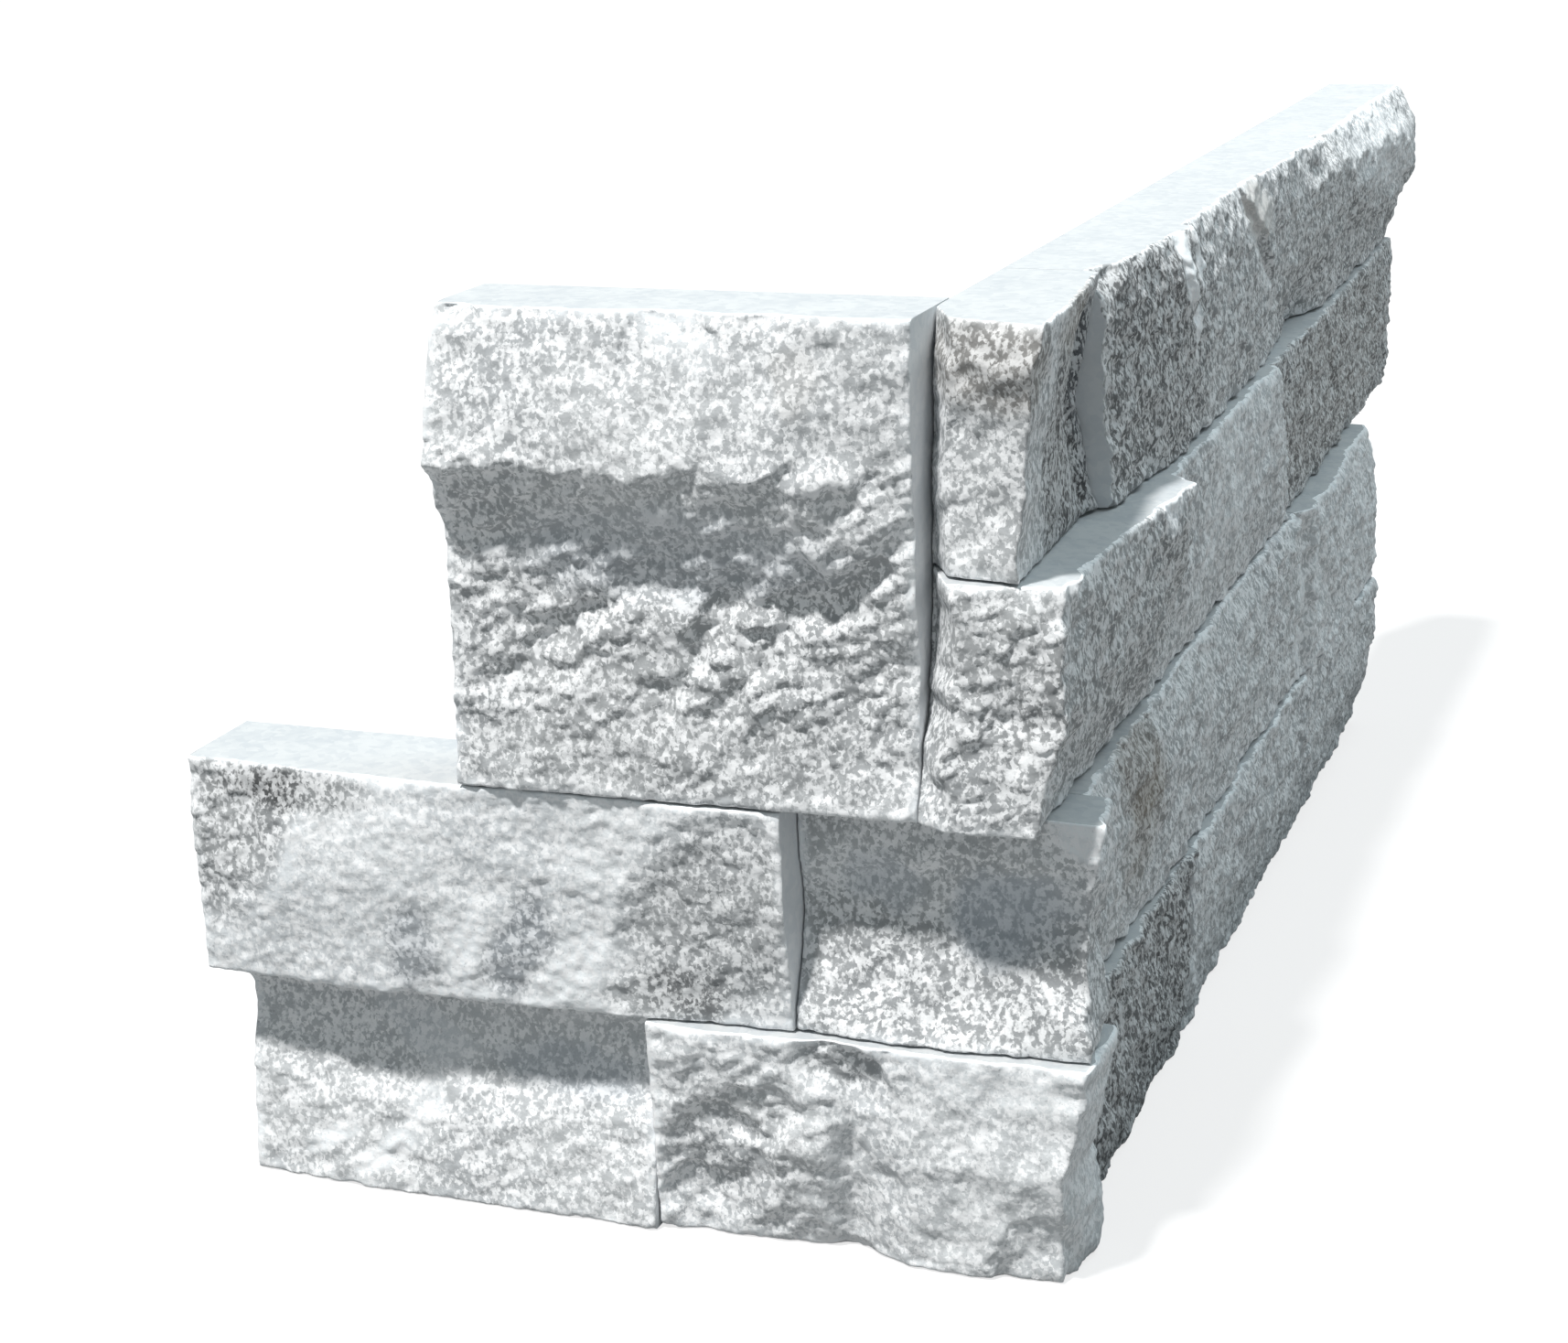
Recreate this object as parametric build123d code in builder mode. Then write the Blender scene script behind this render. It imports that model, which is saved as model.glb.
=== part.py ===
from build123d import *
import os

# Ledger stone veneer corner: four courses of quartzite strips, sawn on every side but the
# face, glued into an L-shaped panel whose lower half is shifted round the corner by one step.
# Millimetres, +Z up. The base is at z = 0 and the inner arris, where the two sawn backs meet,
# is the Z axis. The short wing runs along -X and faces -Y, the long wing runs along +Y and
# faces +X.

# Overall sizes, the wings measured from the arris
panel_height = 150.0
courses = 4
short_upper = 75.0
long_upper = 325.0
step = 50.0
wall = 19.0
glue = 0.3

# Joints between the stones of a course, as distances from the arris along a wing
top_joint = 28.0
second_joint_foot = 178.0
second_joint_head = 152.0
third_short_joint = 22.0
third_long_joint = 184.0
bottom_short_joint = 46.5
bottom_long_joint = 80.0
bottom_left_setback = 4.0

# Where the split end of a corner stone rounds over towards its back, as a share of its width
end_shoulder = 0.25

# What follows from those sizes
course_height = panel_height / courses
third_level = course_height
second_level = 2 * course_height
top_level = 3 * course_height
short_lower = short_upper + step
long_lower = long_upper - step


def on_short_wing(along, depth):
    """Plan point from the distance along the short wing and the depth in front of its back."""
    return (-along, -depth)


def on_long_wing(along, depth):
    """Plan point from the distance along the long wing and the depth in front of its back."""
    return (depth, along)


def upright(along):
    """Foot and head of a joint that stands plumb."""
    return (along, along)


def at_share(foot_and_head, share):
    """Where a joint lies at a share of the stone's height."""
    foot, head = foot_and_head
    return foot + share * (head - foot)


def loft_stone(label, low, high, outlines):
    """Loft one stone upward through plan outlines, each at a share of the stone's height.
    The outlines have the same number of points, and no three in a row lie in line."""
    with BuildPart() as stone:
        for share, points in outlines:
            with BuildSketch(Plane.XY.offset(low + share * (high - low))):
                with BuildLine():
                    Polyline(*points, close=True)
                make_face()
        loft(ruled=True)
    stone.part.label = label
    export_step(stone.part, f"parts/{label}.step")


def wing_stone(label, place, low, high, start, end, stations, rows):
    """A stone with cut ends. Each row gives, at a share of the height, how far the split
    face stands proud of the wall at each station, which is a share of the stone's length."""
    outlines = []
    for share, proud in rows:
        first = at_share(start, share)
        last = at_share(end, share)
        points = [place(last, 0), place(first, 0)]
        for station, relief in zip(stations, proud):
            points.append(place(first + station * (last - first), wall + relief))
        outlines.append((share, points))
    loft_stone(label, low, high, outlines)


def corner_stone(label, place, low, high, end, stations, rows):
    """A stone that runs past the arris, with a split end as well as a split face. Each row
    gives how far the end stands proud of the wall at its back, shoulder and outer edge, then
    how far the face does at the outer edge and at the stations."""
    outlines = []
    for share, end_proud, (edge_proud, *face_proud) in rows:
        back, shoulder, outer = (-wall - relief for relief in end_proud)
        edge = wall + edge_proud
        last = at_share(end, share)
        points = [place(last, 0), place(back, 0), place(shoulder, end_shoulder * edge), place(outer, edge)]
        for station, relief in zip(stations, face_proud):
            points.append(place(outer + station * (last - outer), wall + relief))
        outlines.append((share, points))
    loft_stone(label, low, high, outlines)


os.makedirs("parts", exist_ok=True)

# Upper half of the short wing: one block two courses high, with a proud band over a hollow
wing_stone(
    "short_block", on_short_wing, second_level + glue, panel_height, upright(glue), upright(short_upper),
    (0, 0.16, 0.25, 0.6, 1),
    (
        (0, (0.5, 1.2, 1.5, 2.0, 2.5)),
        (0.12, (-1.5, 0.3, 0.8, 1.6, 1.5)),
        (0.3, (-2.0, -0.5, 0, 0.6, 0.8)),
        (0.44, (-1.0, -0.8, -0.4, -0.2, 0.2)),
        (0.54, (-0.5, -0.2, 0.4, 0.5, 0)),
        (0.69, (0.5, 1.3, 4.6, 5.0, 5.8)),
        (0.82, (1.0, 1.5, 2.8, 3.2, 3.8)),
        (1, (-0.5, 0, -0.5, -0.5, 0)),
    ),
)

# Top course of the long wing
corner_stone(
    "top_corner_stone", on_long_wing, top_level + glue, panel_height, upright(top_joint - glue),
    (0.5, 1),
    (
        (0, (-8.5, -1.5, 0.5), (-3.5, -4.5, -5.0)),
        (0.5, (-9.5, -2.5, 0.5), (-2.5, -4.0, -9.0)),
        (0.85, (-11.0, -1.5, 2.0), (-0.5, -1.5, -6.5)),
        (1, (-12.0, -3.0, 1.5), (0.5, -0.5, -4.0)),
    ),
)
wing_stone(
    "top_long_stone", on_long_wing, top_level + glue, panel_height, upright(top_joint), upright(long_upper),
    (0, 0.12, 0.35, 0.45, 0.57, 0.64, 1),
    (
        (0, (-1.5, 0.5, 0, -2.3, -6.5, -1.6, -3.5)),
        (0.5, (-2.5, 1.0, 0.5, -0.8, -0.2, 0.6, 1.5)),
        (0.8, (-2.5, 0.9, -0.5, 0.2, 1.2, 2.0, 2.6)),
        (1, (-3.0, -1.2, -2.5, -1.4, -0.9, -1.2, -1.0)),
    ),
)

# Second course of the long wing, with a proud ledge near the corner and a leaning joint
corner_stone(
    "second_corner_stone", on_long_wing, second_level + glue, top_level,
    (second_joint_foot - glue, second_joint_head - glue),
    (0.22, 0.4, 0.43, 1),
    (
        (0, (1.0, 3.5, 3.5), (-0.5, -1.2, -0.8, -1.0, -0.5)),
        (0.5, (-6.5, 2.5, 1.0), (3.2, 4.2, 4.0, 2.5, 2.0)),
        (0.85, (-8.0, 2.5, 0), (3.0, 5.0, 6.5, 2.5, 2.0)),
        (1, (-8.5, 2.0, -1.5), (2.5, 4.5, 7.0, 2.5, 1.5)),
    ),
)
wing_stone(
    "second_end_stone", on_long_wing, second_level + glue, top_level,
    (second_joint_foot, second_joint_head), upright(long_upper),
    (0, 0.3, 1),
    (
        (0, (-2.0, -2.2, -3.6)),
        (0.5, (-1.0, -0.5, -2.0)),
        (1, (0.5, 0.5, -2.4)),
    ),
)

# Third course: the short wing's strips run through to the corner
wing_stone(
    "third_left_stone", on_short_wing, third_level + glue, second_level,
    upright(third_short_joint), upright(short_lower),
    (0, 0.25, 0.5, 0.75, 1),
    (
        (0, (-1.5, 0.3, 1.0, 2.0, 0.2)),
        (0.5, (1.5, 0.5, 1.5, 3.2, 0.8)),
        (1, (2.0, 2.5, 2.2, 1.5, -0.3)),
    ),
)
corner_stone(
    "third_corner_stone", on_short_wing, third_level + glue, second_level, upright(third_short_joint - glue),
    (0.5, 1),
    (
        (0, (5.0, 6.0, 6.5), (-2.8, -1.4, -2.2)),
        (0.5, (4.5, 6.2, 7.0), (-5.8, -5.8, -6.0)),
        (1, (5.5, 6.5, 6.5), (-6.3, -6.5, -6.3)),
    ),
)
wing_stone(
    "third_long_stone", on_long_wing, third_level + glue, second_level,
    upright(glue), upright(third_long_joint - glue),
    (0, 0.3, 0.65, 1),
    (
        (0, (-1.2, 0, 0.7, 1.0)),
        (0.5, (1.5, 2.0, 2.5, 1.5)),
        (1, (2.5, 2.8, 1.6, 1.0)),
    ),
)
wing_stone(
    "third_end_stone", on_long_wing, third_level + glue, second_level,
    upright(third_long_joint), upright(long_lower),
    (0, 0.5, 1),
    (
        (0, (2.5, 3.0, 4.0)),
        (0.5, (3.5, 4.2, 4.3)),
        (0.75, (3.4, 3.8, 3.0)),
        (1, (3.0, 2.8, 0.6)),
    ),
)

# Bottom course: its left stone is undercut, its corner stone has a cleft down the face
wing_stone(
    "bottom_left_stone", on_short_wing, 0, third_level,
    upright(bottom_short_joint), upright(short_lower - bottom_left_setback),
    (0, 0.5, 1),
    (
        (0, (-0.5, -0.8, -2.0)),
        (0.5, (-3.3, -3.4, -4.0)),
        (0.85, (-6.0, -5.6, -6.0)),
        (1, (-5.5, -5.0, -4.0)),
    ),
)
corner_stone(
    "bottom_corner_stone", on_short_wing, 0, third_level, upright(bottom_short_joint - glue),
    (0.36, 0.52, 0.58, 1),
    (
        (0, (4.0, 5.0, 2.5), (-3.0, -3.0, -6.0, -4.0, -2.5)),
        (0.2, (4.5, 5.0, 2.5), (-1.5, -1.5, -4.5, -2.0, -1.5)),
        (0.5, (3.0, 4.0, 3.0), (0.3, 0.5, -3.0, -0.5, -0.5)),
        (1, (6.0, 7.0, 7.0), (-1.0, 0.2, 0, 0.4, 1.0)),
    ),
)
wing_stone(
    "bottom_long_stone", on_long_wing, 0, third_level, upright(glue), upright(bottom_long_joint - glue),
    (0, 0.5, 1),
    (
        (0, (-0.5, -0.2, -0.5)),
        (0.5, (0.8, 1.5, 1.0)),
        (1, (0, 0.9, 2.0)),
    ),
)
wing_stone(
    "bottom_end_stone", on_long_wing, 0, third_level, upright(bottom_long_joint), upright(long_lower),
    (0, 0.5, 1),
    (
        (0, (-0.5, -1.0, -1.0)),
        (0.5, (1.5, 2.0, 4.0)),
        (1, (2.0, 2.0, 4.5)),
    ),
)
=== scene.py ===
import bpy
import bmesh
from collections import namedtuple
from math import cos, pi, radians, sin
from mathutils import Matrix, Vector, noise
from mathutils.bvhtree import BVHTree


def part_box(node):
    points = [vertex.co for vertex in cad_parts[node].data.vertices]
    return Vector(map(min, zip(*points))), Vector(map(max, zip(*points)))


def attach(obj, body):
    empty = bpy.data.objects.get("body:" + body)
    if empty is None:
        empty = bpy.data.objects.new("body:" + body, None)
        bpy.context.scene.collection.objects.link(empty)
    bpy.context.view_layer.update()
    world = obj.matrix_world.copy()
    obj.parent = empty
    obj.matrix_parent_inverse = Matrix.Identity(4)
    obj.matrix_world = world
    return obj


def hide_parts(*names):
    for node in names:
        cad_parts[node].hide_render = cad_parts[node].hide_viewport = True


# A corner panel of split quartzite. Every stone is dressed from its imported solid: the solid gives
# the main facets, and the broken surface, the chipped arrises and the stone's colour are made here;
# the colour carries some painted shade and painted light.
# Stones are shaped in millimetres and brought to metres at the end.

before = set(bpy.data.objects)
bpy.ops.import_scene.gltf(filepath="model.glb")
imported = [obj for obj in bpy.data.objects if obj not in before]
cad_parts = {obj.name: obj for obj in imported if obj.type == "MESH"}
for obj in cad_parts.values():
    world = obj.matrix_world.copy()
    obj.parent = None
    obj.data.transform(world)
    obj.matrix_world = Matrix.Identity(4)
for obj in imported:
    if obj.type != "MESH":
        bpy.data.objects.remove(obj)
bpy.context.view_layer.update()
mm = 0.001

# The same broken surface on every run
noise.seed_set(5)

# How finely a split face is modelled, and how far its edge laps over the sawn beds
face_pitch = 0.46
bed_laps = (0.5, 1.3, 2.8)

# How far inside a solid's skin it is probed, how far in front of its back, and a step off a mesh edge
skin = 0.02
probe_depth = 3.0
off_edge = Vector((0.003, 0.004, 0.005))

# How far a corner stone's path runs round its split end
nose = 20.0
nose_width = 20.0

# How far a lump hangs down for each millimetre it stands out, and where that fades towards a bed
overhang = 0.75
overhang_fade = 4.0

# How far in from a sawn arris it is paled, and how much paler it is there: partly bruised stone, and
# partly a painted highlight along the arris
bruise_and_highlight_width = 2.2
bruise_and_highlight_tone = 0.4

# How steeply a mark sets in from its rim
calm_rim = 2.0
dent_rim = 1.8
stain_and_light_rim = 1.6

# The crystals are narrower along the long wing and a little taller than wide
grain_squeeze = (1.0, 1.4, 0.85)

# Length and height of the scars of a split face, and how much of each stands in the relief
lump_length, lump_height, lump_rise = 7.0, 4.2, 0.7
facet_length, facet_height, facet_rise = 6.0, 3.6, 0.9
flake_length, flake_height, flake_rise = 3.2, 1.9, 0.35
facet_border = 0.4

# Size and rise of the crystals and of the grit between them
crystal_size, crystal_rise = 1.6, 0.3
grit_size, grit_rise = 0.9, 0.08

# Chips of an arris: the least one, the small and the large ones, how far a chip runs in over the
# face, and how much of it sinks the bed
least_chip = 0.22
small_chip, small_chip_length = 0.3, 2.3
large_chip, large_chip_length, large_chip_start = 2.2, 7.0, 0.28
chip_run = 1.1
chip_sink = 0.6

# How far a facet's edge and a mark's rim are bent from their true line, and the size of the face's swell
facet_bend = 1.6
mark_bend = 2.0
swell_size = 15.0

# A stone's finishes in their order, and the lap and the slope at which a face takes the next one.
# The sawn ends and beds are one stone: the ends are painted lighter as painted light, and the beds are
# painted darker as painted shade against the sun on them.
split_finish, end_painted_lighter_finish, bed_painted_darker_finish = 0, 1, 2
sawn_lap = 1.5
bed_slope = 0.7


class Wing:
    """One wing of the panel: the way that it runs, the way that it faces and the slant of its scars."""

    def __init__(self, along, outward, slant):
        self.along = Vector(along)
        self.outward = Vector(outward)
        self.slant = radians(slant)

    def place(self, along, depth, height):
        return along * self.along + depth * self.outward + Vector((0, 0, height))


short_wing = Wing((-1, 0, 0), (0, -1, 0), -24)
long_wing = Wing((0, 1, 0), (1, 0, 0), 20)

# Marks on a split face. Along and height are in the panel's frame. A corner stone's path goes on
# below zero round its split end, and turn is in degrees, from along the wing towards up. A dent
# below zero is a lump, and a calm below zero is rougher. A stain that is brown, above zero warmth, is a
# real stain. Many stains are painted shade and painted light instead: they are darker or paler where
# shade or light falls, and they are a bluish painted shade below zero warmth.
Dent = namedtuple("Dent", "along height length width turn depth")
Calm = namedtuple("Calm", "along height length width turn amount")
StainAndPaintedLight = namedtuple("StainAndPaintedLight", "along height length width turn tone warmth")
Stone = namedtuple("Stone", "node wing turns_corner seed chips swell tone marks")


def within(mark, along, height):
    """1 at the middle of a mark, 0 on its rim and outside it."""
    right = along - mark.along
    up = height - mark.height
    lean = radians(mark.turn)
    across = (right * cos(lean) + up * sin(lean)) / mark.length
    over = (up * cos(lean) - right * sin(lean)) / mark.width
    return max(0.0, 1.0 - across * across - over * over)


class Blank:
    """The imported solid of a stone, asked for where its faces are."""

    def __init__(self, stone):
        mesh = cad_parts[stone.node].data
        corners = [vertex.co / mm for vertex in mesh.vertices]
        self.tree = BVHTree.FromPolygons(corners, [face.vertices[:] for face in mesh.polygons])
        self.stone = stone
        self.wing = stone.wing
        lowest, highest = (Vector(corner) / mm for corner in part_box(stone.node))
        self.low = lowest.z
        self.high = highest.z
        ends = sorted((lowest.dot(self.wing.along), highest.dot(self.wing.along)))
        self.middle = 0.0 if stone.turns_corner else sum(ends) / 2

    def reach(self, start, direction):
        """Distance from a point inside the stone to its surface."""
        distance = self.tree.ray_cast(start, direction)[3]
        if distance is None:
            distance = self.tree.ray_cast(start + off_edge, direction)[3]
        return distance

    def inside(self, height):
        return min(max(height, self.low + skin), self.high - skin)

    def ends(self, height):
        """Where the path along the face starts and ends at a height."""
        start = self.wing.place(self.middle, probe_depth, self.inside(height))
        last = self.middle + self.reach(start, self.wing.along)
        if self.stone.turns_corner:
            return -nose - nose_width, last
        return self.middle - self.reach(start, -self.wing.along), last

    def ray(self, path):
        """Plan foot and plan direction, along and outward, of the line that a face point is on."""
        if path >= 0:
            return path, (0.0, 1.0)
        if path >= -nose:
            target = Vector((path, nose_width))
        else:
            target = Vector((-nose, max(0.0, nose_width + nose + path)))
        target.normalize()
        return 0.0, (target.x, target.y)

    def depth(self, path, height, first, last):
        """Distance of the solid's facet along that line."""
        inner = min(max(path, first + skin), last - skin)
        foot, (along, outward) = self.ray(inner)
        start = self.wing.place(foot, skin, self.inside(height))
        return self.reach(start, along * self.wing.along + outward * self.wing.outward)


def chip_relief(spot, slant):
    """Scars of the blows that split the face, longer than wide and slanting up to one side."""
    across = spot.x * cos(slant) + spot.z * sin(slant)
    over = spot.z * cos(slant) - spot.x * sin(slant)
    lumps = noise.fractal(Vector((across / lump_length, spot.y, over / lump_height)), 0.8, 2.2, 3)
    bent = Vector((across / facet_length, spot.y, over / facet_height))
    bent += 0.3 * noise.noise_vector(spot / 3.0)
    near, seeds = noise.voronoi(bent)
    lean = noise.noise_vector(seeds[0] * 3.7)
    border = min(1.0, (near[1] - near[0]) / facet_border)
    facet = border * (lean.dot(bent - seeds[0]) + 0.4 * lean.y)
    flake_spot = Vector((across / flake_length, spot.y + 40.0, over / flake_height))
    flakes = noise.fractal(flake_spot, 0.9, 2.0, 2)
    return lump_rise * lumps + facet_rise * facet + flake_rise * flakes


def grain_relief(spot):
    """The crystals of the stone, in millimetres."""
    near = noise.voronoi(spot / crystal_size)[0]
    return crystal_rise * (0.45 - near[0]) + grit_rise * noise.noise(spot / grit_size)


def arris_chip(path, seed, level):
    """How much of a sawn arris is broken away at a place along it."""
    small = noise.noise(Vector((path / small_chip_length, seed, level)))
    large = noise.noise(Vector((path / large_chip_length, seed + 9.0, level)))
    return least_chip + small_chip * max(0.0, small) + large_chip * max(0.0, large - large_chip_start)


def row_heights(blank):
    """Heights of the rows of a split face, and how far each one lies back on a sawn bed."""
    count = round((blank.high - blank.low) / face_pitch)
    step = (blank.high - blank.low) / count
    rows = [(blank.low, lap) for lap in reversed(bed_laps)]
    rows += [(blank.low + number * step, 0.0) for number in range(count + 1)]
    rows += [(blank.high, lap) for lap in bed_laps]
    return rows


def dressed_stone(stone):
    """A stone with its split face broken and its other faces sawn flat."""
    blank = Blank(stone)
    wing = stone.wing
    rows = row_heights(blank)
    ends = [blank.ends(height) for height, lap in rows]
    first, last = ends[0]
    columns = round((last - first) / face_pitch)

    # Each stone has its own place in the noise
    offset = Vector((37.0 * stone.seed, 11.0 * stone.seed, 5.0 * stone.seed))
    dents = [mark for mark in stone.marks if isinstance(mark, Dent)]
    calms = [mark for mark in stone.marks if isinstance(mark, Calm)]
    stains_and_painted_light = [mark for mark in stone.marks if isinstance(mark, StainAndPaintedLight)]

    shape = bmesh.new()
    bmesh.ops.create_grid(shape, x_segments=columns, y_segments=len(rows) - 1, size=0.5)
    path_of = shape.verts.layers.float.new("path")
    lap_of = shape.verts.layers.float.new("lap")
    tone_of = shape.verts.layers.float.new("tone")
    warmth_and_shade_tint_of = shape.verts.layers.float.new("warmth")
    for vertex in shape.verts:
        share = vertex.co.x + 0.5
        row = round((vertex.co.y + 0.5) * (len(rows) - 1))
        height, lap = rows[row]
        first, last = ends[row]
        path = first + share * (last - first)
        spot = Vector((path, 0.0, height)) + offset

        # Facets of the solid, with their straight edges bent a little
        drift = noise.noise_vector(spot / 9.0) + 0.5 * noise.noise_vector(spot / 3.5)
        depth = blank.depth(path + facet_bend * drift.x, height + facet_bend * drift.z, first, last)
        if depth is None:
            depth = blank.depth(path, height, first, last)
        bent_path = path + mark_bend * drift.z
        bent_height = height + mark_bend * drift.y
        chips = stone.chips
        for mark in calms:
            chips *= 1.0 - mark.amount * min(1.0, calm_rim * within(mark, path, height))
        relief = chips * chip_relief(spot, wing.slant)
        for mark in dents:
            relief -= mark.depth * min(1.0, dent_rim * within(mark, bent_path, bent_height))
        swell = stone.swell * noise.fractal(spot / swell_size, 0.8, 2.2, 3)
        depth += relief + swell + grain_relief(spot)

        # Chipped arrises at the beds and at the cut ends
        below = blank.high - height
        above = height - blank.low
        chip = arris_chip(path, stone.seed, 0.0 if above < below else 5.0)
        run = chip_run + chip
        from_bed = min(above, below)
        height -= overhang * relief * min(1.0, from_bed / overhang_fade)
        if from_bed < run:
            depth -= chip * (1.0 - from_bed / run) ** 2
        from_end = last - path
        if not stone.turns_corner:
            from_end = min(from_end, path - first)
        end_chip = arris_chip(height, stone.seed + 20, 0.0)
        end_run = chip_run + end_chip
        if from_end < end_run:
            depth -= end_chip * (1.0 - from_end / end_run) ** 2
        if from_bed < 0.01:
            sink = chip_sink * chip * (1.0 - lap / bed_laps[-1]) ** 2
            height += sink if above < below else -sink
        depth -= lap

        # A split end runs out in the back plane
        foot, (along, outward) = blank.ray(path)
        vertex.co = wing.place(foot + along * depth, outward * depth, height)
        vertex[path_of] = path
        vertex[lap_of] = lap
        # Paler near the arrises: bruised stone, and a painted highlight along them
        edge = max(0.0, 1.0 - min(from_bed, from_end) / bruise_and_highlight_width)
        tone = stone.tone + bruise_and_highlight_tone * edge * max(0.0, 0.6 + noise.noise(spot / 3.0))
        # Stains, painted shade and painted light from the marks on the face
        warmth = 0.0
        for mark in stains_and_painted_light:
            amount = min(1.0, stain_and_light_rim * within(mark, bent_path, bent_height))
            tone += mark.tone * amount
            warmth += mark.warmth * amount
        vertex[tone_of] = tone
        vertex[warmth_and_shade_tint_of] = warmth
    for face in shape.faces:
        face.smooth = True
        laps = sum(vertex[lap_of] for vertex in face.verts)
        face.material_index = end_painted_lighter_finish if laps > sawn_lap else split_finish

    # Sawn beds and ends, drawn back to the back plane
    rims = [edge for edge in shape.edges if edge.is_boundary]
    if stone.turns_corner:
        path_start = -nose - nose_width + 0.01
        rims = [edge for edge in rims if max(vertex[path_of] for vertex in edge.verts) > path_start]
    drawn = bmesh.ops.extrude_edge_only(shape, edges=rims)["geom"]
    for item in drawn:
        if isinstance(item, bmesh.types.BMVert):
            item.co = wing.place(max(0.0, item[path_of]), 0.0, item.co.z)
        elif isinstance(item, bmesh.types.BMFace):
            item.smooth = False
            item.material_index = end_painted_lighter_finish
    bmesh.ops.remove_doubles(shape, verts=shape.verts, dist=0.0005)
    open_rim = [edge for edge in shape.edges if edge.is_boundary]
    for face in bmesh.ops.holes_fill(shape, edges=open_rim, sides=0)["faces"]:
        face.smooth = False
        face.material_index = end_painted_lighter_finish
    bmesh.ops.recalc_face_normals(shape, faces=shape.faces)
    # Up-facing sawn faces take the darker bed finish, painted shade against the sun that falls on them
    for face in shape.faces:
        if face.material_index == end_painted_lighter_finish and abs(face.normal.z) > bed_slope:
            face.material_index = bed_painted_darker_finish
    bmesh.ops.scale(shape, vec=(mm, mm, mm), verts=shape.verts)
    mesh = bpy.data.meshes.new(stone.node + "_dressed")
    shape.to_mesh(mesh)
    shape.free()
    piece = bpy.data.objects.new(mesh.name, mesh)
    bpy.context.collection.objects.link(piece)
    mesh.materials.append(split_quartzite)
    mesh.materials.append(sawn_end_painted_lighter)
    mesh.materials.append(sawn_bed_painted_darker)
    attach(piece, "root")
    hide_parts(stone.node)


class Value:
    """A shader socket that takes part in Python arithmetic."""

    def __init__(self, finish, socket):
        self.finish = finish
        self.socket = socket

    def worked_out(self, operation, first, second):
        return self.finish.node("ShaderNodeMath", {"operation": operation}, {0: first, 1: second})

    def __add__(self, other):
        return self.worked_out("ADD", self, other)

    def __radd__(self, other):
        return self.worked_out("ADD", other, self)

    def __rsub__(self, other):
        return self.worked_out("SUBTRACT", other, self)

    def __mul__(self, other):
        return self.worked_out("MULTIPLY", self, other)

    def __rmul__(self, other):
        return self.worked_out("MULTIPLY", other, self)


class Finish:
    """A node tree in the making, of a material or of the world."""

    def __init__(self, tree):
        self.tree = tree

    def node(self, kind, settings=None, sockets=None, output=0):
        made = self.tree.nodes.new(kind)
        for name, setting in (settings or {}).items():
            setattr(made, name, setting)
        for key, value in (sockets or {}).items():
            self.feed(made.inputs[key], value)
        return Value(self, made.outputs[output])

    def feed(self, socket, value):
        if isinstance(value, Value):
            self.tree.links.new(value.socket, socket)
        else:
            socket.default_value = value

    def mix(self, amount, first, second):
        return self.node("ShaderNodeMix", {"data_type": "RGBA"}, {0: amount, 6: first, 7: second}, 2)

    def shade(self, value, colour):
        """A colour times a value."""
        return self.node("ShaderNodeVectorMath", {"operation": "SCALE"}, {0: colour, "Scale": value})

    def slope(self, value, low, high):
        """0 below low, 1 above high, smooth between them."""
        settings = {"interpolation_type": "SMOOTHSTEP"}
        return self.node("ShaderNodeMapRange", settings, {0: value, 1: low, 2: high})

    def least(self, value, limit):
        """The lesser of a value and a limit."""
        return self.node("ShaderNodeMath", {"operation": "MINIMUM"}, {0: value, 1: limit})

    def clouds(self, place, size, detail=3.0, roughness=0.55):
        """Noise with lumps of a size in millimetres."""
        sockets = {"Vector": place, "Scale": 1 / size, "Detail": detail, "Roughness": roughness}
        return self.node("ShaderNodeTexNoise", None, sockets)

    def crystals(self, place, size, output):
        """Cells of a size in millimetres: their distance, or a colour for each."""
        return self.node("ShaderNodeTexVoronoi", None, {"Vector": place, "Scale": 1 / size}, output)

    def attribute(self, name):
        return self.node("ShaderNodeAttribute", {"attribute_name": name}, None, 2)

    def millimetres(self):
        """Object coordinates in millimetres."""
        place = self.node("ShaderNodeTexCoord", None, None, 3)
        return self.node("ShaderNodeVectorMath", {"operation": "SCALE"}, {0: place, "Scale": 1 / mm})

    def channel(self, colour, number):
        return self.node("ShaderNodeSeparateColor", None, {0: colour}, number)


def new_finish(name):
    material = bpy.data.materials.new(name)
    material.use_nodes = True
    return material, Finish(material.node_tree), material.node_tree.nodes["Principled BSDF"].inputs


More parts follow.
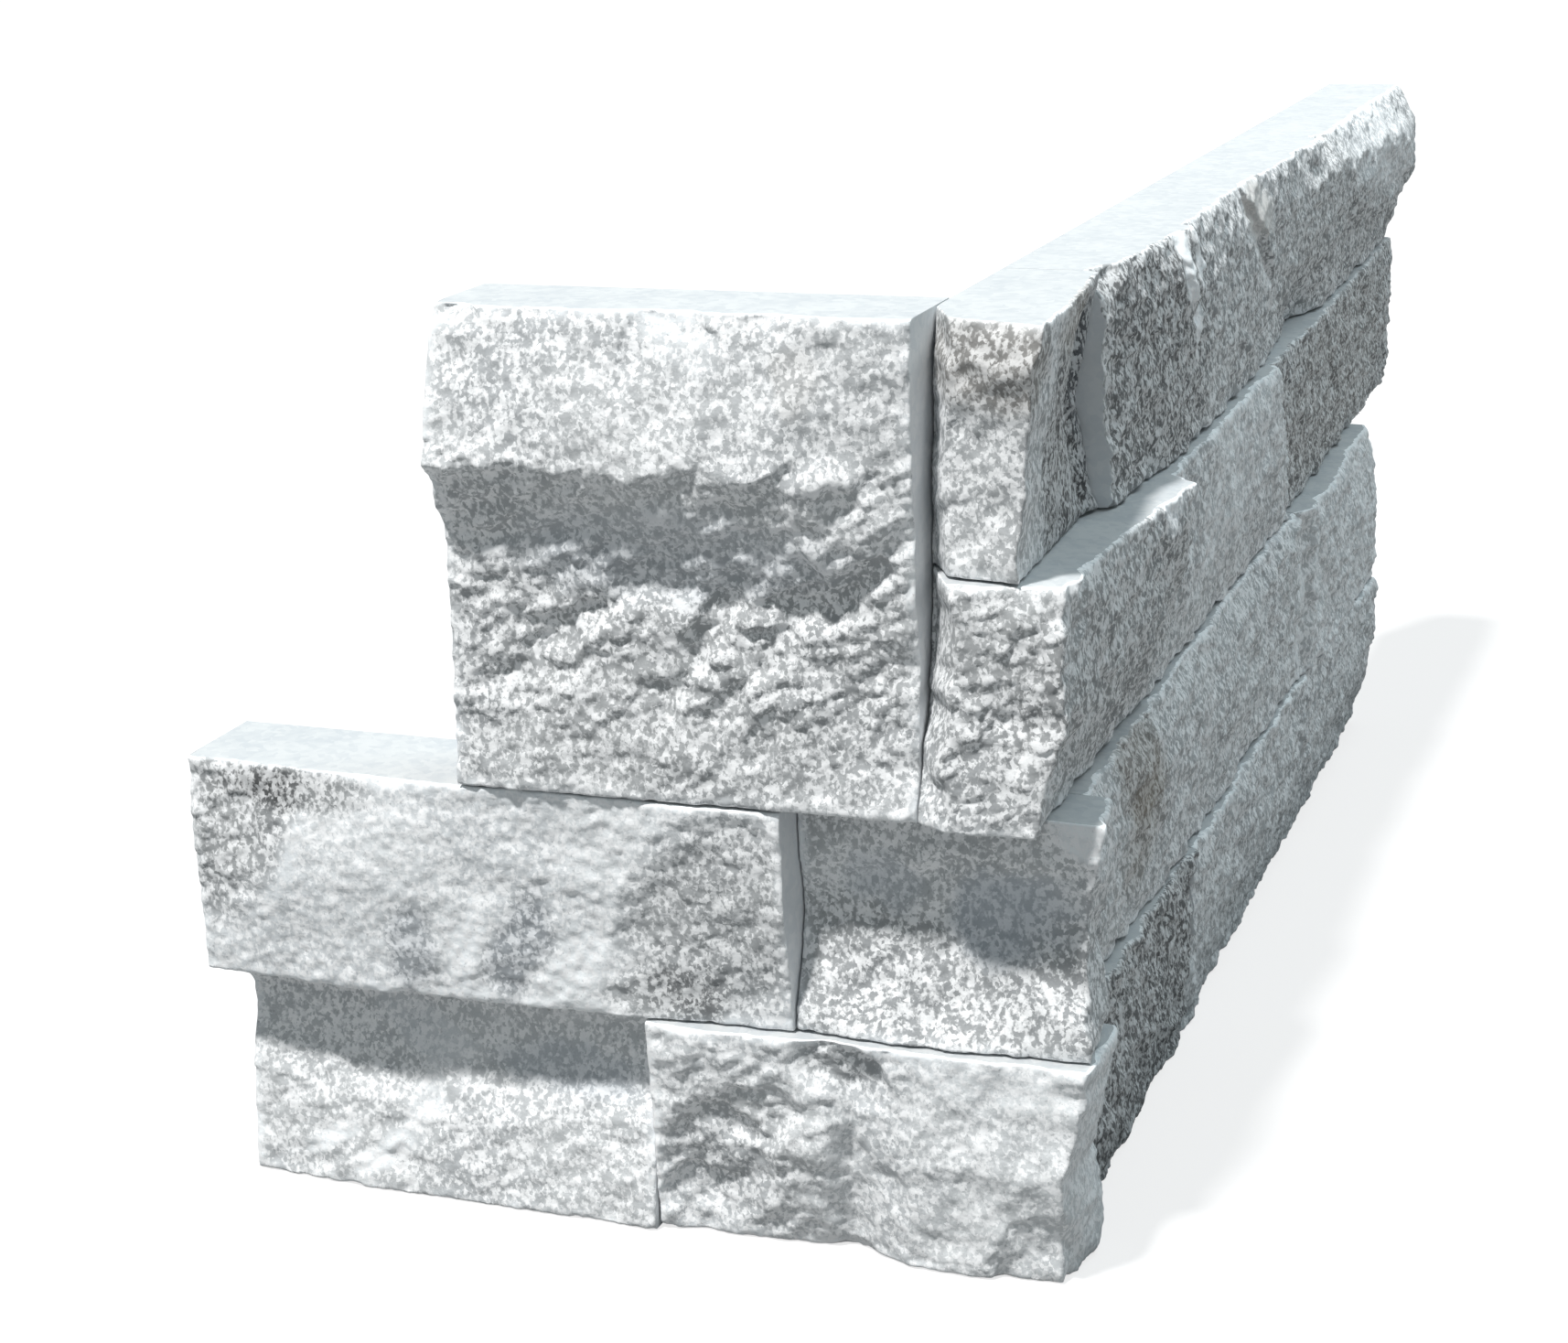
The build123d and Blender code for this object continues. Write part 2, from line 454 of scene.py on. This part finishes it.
def make_split_quartzite():
    """Broken quartzite: white crystals in a grey ground, with stains, painted shade and painted light
    from the stone's own marks.
    """
    dark_ground = (0.48, 0.5, 0.515, 1)
    pale_ground = (0.58, 0.6, 0.61, 1)
    crystal_white = (0.95, 0.96, 0.97)
    fleck_grey = (0.22, 0.23, 0.24, 1)
    brown = (0.42, 0.36, 0.29, 1)
    painted_shade_blue = (0.38, 0.44, 0.51, 1)
    material, finish, shader = new_finish("split_quartzite")
    place = finish.millimetres()
    place = finish.node("ShaderNodeVectorMath", {"operation": "MULTIPLY"}, {0: place, 1: grain_squeeze})
    warp = finish.node("ShaderNodeTexNoise", None, {"Vector": place, "Scale": 1.5, "Detail": 2.0}, 1)
    bend = {0: warp, 1: (0.7, 0.7, 0.7), 2: place}
    bent = finish.node("ShaderNodeVectorMath", {"operation": "MULTIPLY_ADD"}, bend)
    speck = finish.clouds(bent, 1.1, 2.0, 0.6)
    small_shade = finish.channel(finish.crystals(bent, 0.65, 1), 1)
    patch = finish.clouds(place, 3.2, 4.0)
    cloud = finish.clouds(place, 28.0, 2.0)
    white = finish.slope(0.9 * speck + 0.3 * small_shade + 0.55 * patch, 0.76, 1.0)
    ground = finish.mix(finish.slope(cloud, 0.35, 0.65), dark_ground, pale_ground)
    tone = finish.least(finish.attribute("tone"), 1.3)
    ground = finish.shade(tone * tone, ground)
    crystal = finish.shade(finish.least(0.5 + 0.5 * tone, 1.03), crystal_white)
    colour = finish.mix(white, ground, crystal)
    fleck = finish.slope(finish.clouds(bent, 0.7, 2.0), 0.62, 0.74)
    colour = finish.mix(0.4 * fleck, colour, fleck_grey)
    warmth = finish.attribute("warmth")
    colour = finish.mix(warmth, colour, brown)
    # Below zero the tint is a bluish painted shade
    colour = finish.mix(-1 * warmth, colour, painted_shade_blue)
    finish.feed(shader["Base Color"], colour)
    finish.feed(shader["Roughness"], 0.72 - 0.3 * finish.slope(small_shade, 0.75, 0.95))
    rise = 0.5 * finish.clouds(place, 0.45, 3.0) + 0.4 * small_shade
    bump = finish.node("ShaderNodeBump", None, {"Strength": 0.6, "Distance": 0.00025, "Height": rise})
    finish.feed(shader["Normal"], bump)
    return material


def make_sawn_quartzite(name, dark, pale):
    """Sawn quartzite: even, with faint veins and saw marks."""
    material, finish, shader = new_finish(name)
    place = finish.millimetres()
    crystals = finish.channel(finish.crystals(place, 1.3, 1), 0)
    patch = finish.clouds(place, 9.0, 4.0)
    drawn = finish.node("ShaderNodeVectorMath", {"operation": "MULTIPLY"}, {0: place, 1: (0.3, 0.3, 1.0)})
    streak = finish.clouds(drawn, 1.2, 3.0)
    cloud = finish.slope(0.3 * crystals + 0.7 * patch + 0.25 * streak, 0.35, 0.85)
    colour = finish.mix(cloud, dark, pale)
    finish.feed(shader["Base Color"], colour)
    finish.feed(shader["Roughness"], 0.55 + 0.2 * patch)
    rise = streak + 0.4 * crystals
    bump = finish.node("ShaderNodeBump", None, {"Strength": 0.3, "Distance": 0.00012, "Height": rise})
    finish.feed(shader["Normal"], bump)
    return material


split_quartzite = make_split_quartzite()
# One sawn stone twice over: paler on the ends as painted light where they stand in shade, and darker on
# the beds as painted shade against the sun on the tops
sawn_end_painted_lighter = make_sawn_quartzite("sawn_end_painted_lighter", (0.72, 0.75, 0.775, 1), (0.82, 0.835, 0.845, 1))
sawn_bed_painted_darker = make_sawn_quartzite("sawn_bed_painted_darker", (0.425, 0.45, 0.47, 1), (0.515, 0.53, 0.535, 1))

stones = (
    Stone("short_block", short_wing, False, 1, 1.0, 0.7, 0.96, (
        Calm(40, 139, 50, 13, 0, 0.8),
        Calm(30, 80, 60, 10, 0, 0.5),
        Dent(74, 150, 6, 4, 40, 1.6),
        Dent(74, 76, 5, 5, 0, 0.6),
        Dent(57, 101, 9, 4, -18, 1.3),
        Dent(41, 110, 8, 4, -20, 1.2),
        Dent(32, 103, 8, 4, -48, 1.3),
        Dent(17, 107, 9, 4, -12, 1.3),
        Dent(8, 112, 6, 3, -10, 0.9),
        Dent(23, 99, 6, 4, -40, 1.1),
        Dent(32, 89, 7, 3, -50, 0.5),
        Dent(24, 86, 6, 3, -50, 0.5),
        Dent(62, 93, 7, 4, -20, 0.7),
        Dent(12, 121, 8, 9, 0, -1.0),
        Dent(36, 148, 9, 2.5, 20, 0.7),
        Dent(43, 143, 2, 7, 10, 0.7),
        StainAndPaintedLight(36, 146, 9, 5, 20, 0.15, 0.0),
        StainAndPaintedLight(17, 141, 4, 6, 0, 0.0, 0.12),
        StainAndPaintedLight(35, 95, 50, 26, 0, -0.12, 0.0),
        # Painted bluish shade in the shadow under the band
        StainAndPaintedLight(38, 114, 30, 9, 0, 0.04, -0.2),
    )),
    Stone("top_corner_stone", long_wing, True, 2, 0.3, 0.5, 0.91, (
        StainAndPaintedLight(-28, 144, 16, 8, 0, -0.28, 0.17),
        Dent(27, 130, 7, 24, 0, -1.6),
        StainAndPaintedLight(12, 130, 22, 34, 0, -0.55, 0.0),
        # Painted shade, darker and bluish, in the cleft by the next stone's end
        StainAndPaintedLight(25, 134, 6, 20, 0, -0.22, -0.1),
        StainAndPaintedLight(6, 148, 16, 6, 0, 0.1, 0.2),
    )),
    Stone("top_long_stone", long_wing, False, 3, 1.0, 0.9, 0.75, (
        Dent(28, 152, 9, 9, 0, 2.0),
        Dent(290, 134, 60, 10, 0, -1.0),
        Dent(290, 150, 60, 9, 0, 1.0),
        Dent(74, 146, 6, 10, 10, -1.6),
        Dent(141, 137, 22, 3, -42, 1.4),
        Dent(212, 150, 4, 5, 0, 2.2),
        StainAndPaintedLight(55, 130, 40, 34, 0, -0.26, 0.0),
        StainAndPaintedLight(70, 145, 3.5, 10, 8, 0.9, 0.0),
        StainAndPaintedLight(78, 139, 3, 15, 10, 0.9, 0.0),
        StainAndPaintedLight(140, 144, 14, 7, -15, 0.45, 0.35),
        StainAndPaintedLight(144, 131, 20, 2.5, -48, 0.35, 0.1),
        StainAndPaintedLight(230, 125, 60, 14, 0, -0.07, 0.0),
        # Painted light: paler where the far end's lumps take the sun
        StainAndPaintedLight(275, 142, 60, 13, -8, 0.28, 0.0),
    )),
    Stone("second_corner_stone", long_wing, True, 4, 0.9, 0.7, 0.92, (
        StainAndPaintedLight(-30, 98, 16, 22, 0, -0.1, 0.0),
        StainAndPaintedLight(20, 94, 50, 24, 0, -0.2, 0.0),
        StainAndPaintedLight(37, 111, 4, 4, 0, 0.35, 0.0),
        StainAndPaintedLight(115, 100, 45, 16, 10, 0.1, 0.0),
    )),
    Stone("second_end_stone", long_wing, False, 5, 1.2, 0.8, 0.57, (
        StainAndPaintedLight(240, 93, 90, 25, 0, 0.0, 0.08),
    )),
    Stone("third_left_stone", short_wing, False, 6, 0.35, 0.5, 1.2, (
        Calm(92, 60, 28, 22, 0, 0.6),
        Calm(121, 66, 15, 26, 36, -1.5),
        # Painted shade on the left facet, which faces away from the key lamp
        StainAndPaintedLight(121, 66, 16, 26, 36, -0.4, 0.0),
        StainAndPaintedLight(106, 71, 16, 5, 0, -0.42, 0.0),
        StainAndPaintedLight(108, 57, 2.5, 11, 29, 0.15, 0.0),
        # Painted shade, bluish, in the scoops, whose walls face away from the key lamp
        StainAndPaintedLight(86, 46, 5, 9, 12, -0.34, -0.25),
        Dent(67, 47, 7, 13, 22, 0.25),
        StainAndPaintedLight(67, 47, 6, 12, 22, -0.44, -0.25),
        # Painted highlights on the lit rim and the lit spots between the scoops
        StainAndPaintedLight(76, 48, 2.5, 12, 14, 0.15, 0.0),
        StainAndPaintedLight(57, 46, 4, 8, 25, 0.15, 0.0),
        StainAndPaintedLight(43, 42, 13, 6, 0, -0.25, 0.0),
        Dent(32, 55, 17, 25, 28, 1.0),
        Dent(54, 100, 26, 42, 0, 0.9),
        # Painted shade on the right facet
        StainAndPaintedLight(33, 55, 17, 24, 25, -0.33, 0.0),
    )),
    Stone("third_corner_stone", short_wing, True, 7, 0.5, 0.6, 0.82, (
        # Painted light, paler in the shadow under the stones above
        StainAndPaintedLight(-8, 65, 45, 11, 0, 0.16, 0.0),
        Dent(-29.5, 73, 2.5, 6, 0, -1.0),
        Dent(-5, 53, 45, 15, 0, 2.0),
        # Painted highlight on the sunlit corner chip
        StainAndPaintedLight(-29.5, 73, 3, 5, 0, 0.35, 0.0),
        # Painted bluish shade in the shadow
        StainAndPaintedLight(-16, 57, 15, 9, -10, 0.0, -0.45),
        StainAndPaintedLight(8, 62, 8, 7, 0, 0.0, -0.25),
    )),
    Stone("third_long_stone", long_wing, False, 8, 1.1, 0.8, 0.9, (
        Dent(85, 78, 130, 9, 0, 1.6),
        StainAndPaintedLight(33, 68, 20, 11, -28, -0.3, 0.2),
        StainAndPaintedLight(40, 56, 16, 12, 20, -0.2, 0.2),
    )),
    Stone("third_end_stone", long_wing, False, 9, 1.1, 0.8, 0.98, (
        Dent(184, 57, 9, 26, 0, 2.2),
    )),
    Stone("bottom_left_stone", short_wing, False, 10, 0.4, 0.6, 1.0, (
        Dent(85, 28, 50, 13, 0, 1.6),
        # Painted light, a little paler across the shadow under the stone above
        StainAndPaintedLight(85, 30, 50, 10, 0, 0.06, 0.0),
        # A paler streak with painted bluish shade over it, and painted bluish shade at the shadow's edge
        StainAndPaintedLight(88, 27, 13, 6, 27, 0.12, -0.1),
        StainAndPaintedLight(62, 24, 16, 5, 0, 0.0, -0.3),
        StainAndPaintedLight(106, 8, 7, 2.5, -40, 0.3, 0.0),
        StainAndPaintedLight(96, 6, 8, 2.5, -35, 0.3, 0.0),
        StainAndPaintedLight(89, 15, 3.5, 8, 20, 0.18, 0.0),
    )),
    Stone("bottom_corner_stone", short_wing, True, 11, 0.6, 0.7, 1.08, (
        Calm(-8, 16, 24, 26, 0, 0.85),
        Dent(-8, -4, 26, 20, 0, -1.1),
        Dent(-8, -6, 26, 12, 0, -0.9),
        Dent(14, 33, 9, 6, 20, 1.5),
        StainAndPaintedLight(14, 33, 8, 5, 20, -0.2, 0.0),
        Dent(36, 14, 11, 11, 0, 1.2),
        Dent(28, 23, 8, 6, -25, 0.9),
        Dent(40, 6, 6, 6, 0, 1.2),
        Dent(-20, 2, 10, 10, 35, 1.4),
        StainAndPaintedLight(-12, 33, 18, 4, 0, 0.12, 0.0),
        StainAndPaintedLight(32, 17, 14, 14, 25, -0.12, 0.0),
    )),
    Stone("bottom_long_stone", long_wing, False, 12, 1.2, 0.8, 0.48, ()),
    Stone("bottom_end_stone", long_wing, False, 13, 1.1, 0.8, 0.91, ()),
)
for stone in stones:
    dressed_stone(stone)

# Camera, fitted to the photograph
camera_place = (0.11865, -0.38749, 0.21703)
camera_turn = radians(19.608)
camera_dip = radians(19.065)
camera_roll = radians(-1.572)
camera_data = bpy.data.cameras.new("camera")
camera_data.lens = 63.80
camera_data.sensor_width = 36.0
camera_data.sensor_fit = "HORIZONTAL"
camera_data.shift_x = -0.0348
camera_data.shift_y = 0.0654
camera_data.clip_start = 0.01
camera = bpy.data.objects.new("camera", camera_data)
aim = Matrix.Rotation(camera_turn, 4, "Z") @ Matrix.Rotation(pi / 2 - camera_dip, 4, "X")
aim = aim @ Matrix.Rotation(camera_roll, 4, "Z")
camera.matrix_world = Matrix.Translation(camera_place) @ aim
bpy.context.collection.objects.link(camera)
bpy.context.scene.camera = camera

# Key lamp high on the left in front, a cool fill high on the right behind, and a pale surround
key_from = Vector((-0.15, -0.34, 0.93))
key_data = bpy.data.lights.new("key", "SUN")
key_data.energy = 4.3
key_data.color = (1.0, 0.99, 0.975)
key_data.angle = radians(5)
key = bpy.data.objects.new("key", key_data)
key.rotation_euler = key_from.to_track_quat("Z", "Y").to_euler()
bpy.context.collection.objects.link(key)

fill_from = Vector((0.35, 0.45, 1.15))
fill_data = bpy.data.lights.new("fill", "AREA")
fill_data.size = 0.6
fill_data.energy = 5.5
fill_data.color = (0.8, 0.95, 1.0)
fill = bpy.data.objects.new("fill", fill_data)
fill.location = fill_from
fill.rotation_euler = fill_from.to_track_quat("Z", "Y").to_euler()
bpy.context.collection.objects.link(fill)

world = bpy.data.worlds.new("surround")
world.use_nodes = True
bpy.context.scene.world = world
surround = Finish(world.node_tree)
sight = surround.node("ShaderNodeLightPath", None, None, 0)
gloss = surround.node("ShaderNodeLightPath", None, None, 3)
seen = surround.node("ShaderNodeMath", {"operation": "MAXIMUM"}, {0: sight, 1: gloss})
fill_strength = 0.26
background = world.node_tree.nodes["Background"].inputs
surround.feed(background["Color"], surround.mix(seen, (0.82, 0.95, 1, 1), (1, 1, 1, 1)))
surround.feed(background["Strength"], fill_strength + (1 - fill_strength) * seen)

# Floor, white to the eye but for the panel's shadow
floor_shape = bmesh.new()
bmesh.ops.create_grid(floor_shape, x_segments=1, y_segments=1, size=6.0)
bmesh.ops.translate(floor_shape, vec=(0, 0, -0.0001), verts=floor_shape.verts)
floor_mesh = bpy.data.meshes.new("floor")
floor_shape.to_mesh(floor_mesh)
floor_shape.free()
floor = bpy.data.objects.new("floor", floor_mesh)
bpy.context.collection.objects.link(floor)
floor_material, floor_finish, floor_shader = new_finish("pale_floor")
floor_shader["Roughness"].default_value = 0.9
floor_sight = floor_finish.node("ShaderNodeLightPath", None, None, 0)
floor_colour = floor_finish.mix(floor_sight, (0.2, 0.2, 0.2, 1), (0.9, 0.9, 0.9, 1))
floor_finish.feed(floor_shader["Base Color"], floor_colour)
floor_lift = floor_finish.node("ShaderNodeEmission", None, {"Color": (1, 1, 1, 1), "Strength": 1.0})
floor_nodes = floor_material.node_tree.nodes
floor_mix = floor_finish.node("ShaderNodeMixShader", None, {0: 0.75 * floor_sight, 2: floor_lift})
floor_links = floor_material.node_tree.links
floor_links.new(floor_nodes["Principled BSDF"].outputs[0], floor_mix.socket.node.inputs[1])
floor_links.new(floor_mix.socket, floor_nodes["Material Output"].inputs["Surface"])
floor_mesh.materials.append(floor_material)

bpy.context.scene.view_settings.view_transform = "Standard"
